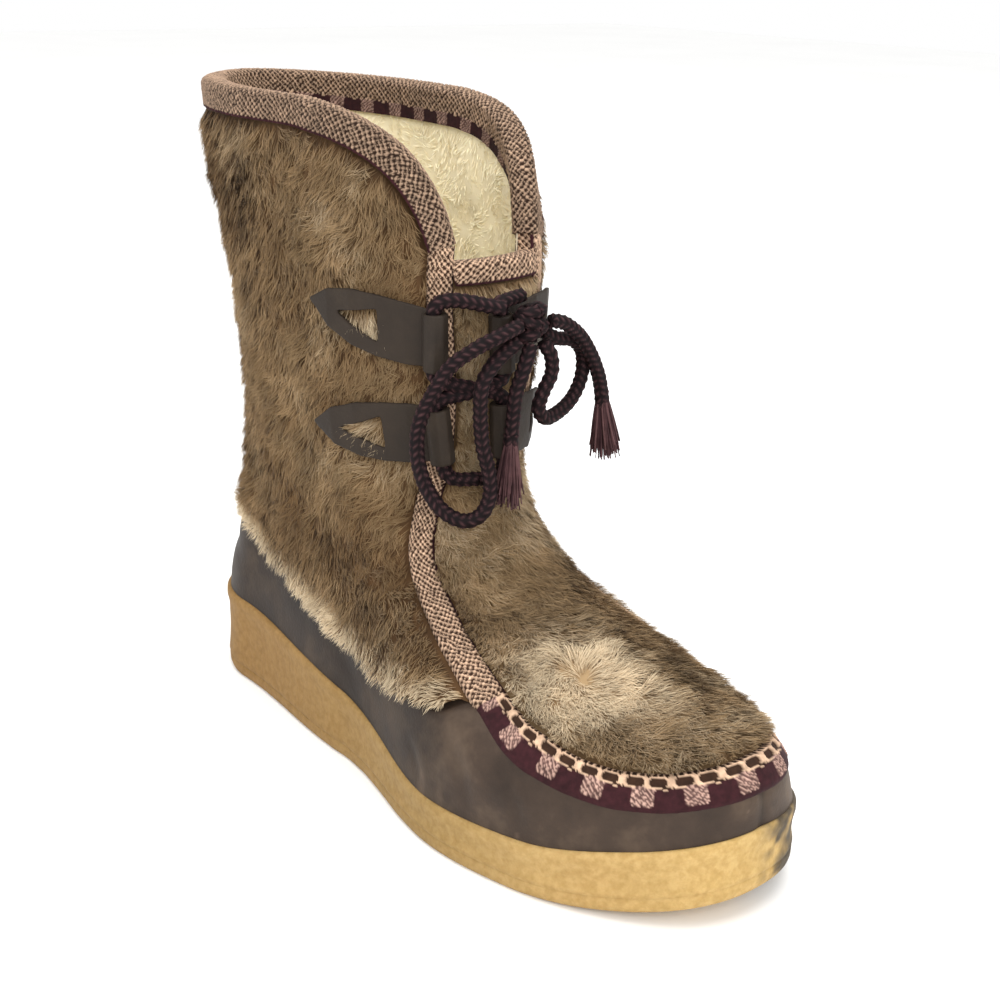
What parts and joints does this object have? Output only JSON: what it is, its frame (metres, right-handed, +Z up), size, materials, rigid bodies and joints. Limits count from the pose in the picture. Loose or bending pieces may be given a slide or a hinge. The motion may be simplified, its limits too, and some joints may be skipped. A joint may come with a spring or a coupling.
{
  "type": "winter boot",
  "caption": "Mid-calf plush winter boot with a crepe wedge sole, a leather band at the foot, woven ribbon on seams and collar, and a cord laced through leather tabs.",
  "frame": {"origin": "middle of the boot's box without its free cord, on the floor", "axes": "+X towards the toe, -Y towards the outer side of the foot, +Z up"},
  "size_m": [0.2824, 0.1017, 0.2302],
  "materials": {
    "crepe": "matte crepe rubber with a fine grain",
    "fleece": "cream pile insole",
    "lining": "cream fleece lining",
    "leather": "worn smooth dark brown leather",
    "plush": "deep brown plush, matte",
    "ribbon": "woven ribbon in dark red and pale pink",
    "tab_leather": "grey brown leather, matte",
    "cord": "braided dark cord"
  },
  "bodies": {
    "root": {"sole": "crepe", "insole": "fleece", "upper": "lining", "leather_band_outer": "leather", "leather_band_inner": "leather", "plush_side_outer": "plush", "plush_side_inner": "plush", "plush_front_panel": "plush", "ribbon_seam": "ribbon", "ribbon_collar": "ribbon", "ribbon_notch": "ribbon", "tab_outer_upper": "tab_leather", "tab_outer_lower": "tab_leather", "tab_inner_upper": "tab_leather", "tab_inner_lower": "tab_leather", "lace_crossing": "cord", "lace_knot": "cord", "lace_loop_outer": "cord", "lace_loop_inner": "cord", "lace_end_down": "cord", "lace_end_over": "cord", "tassel_down": "cord", "tassel_over": "cord"}
  },
  "joints": []
}
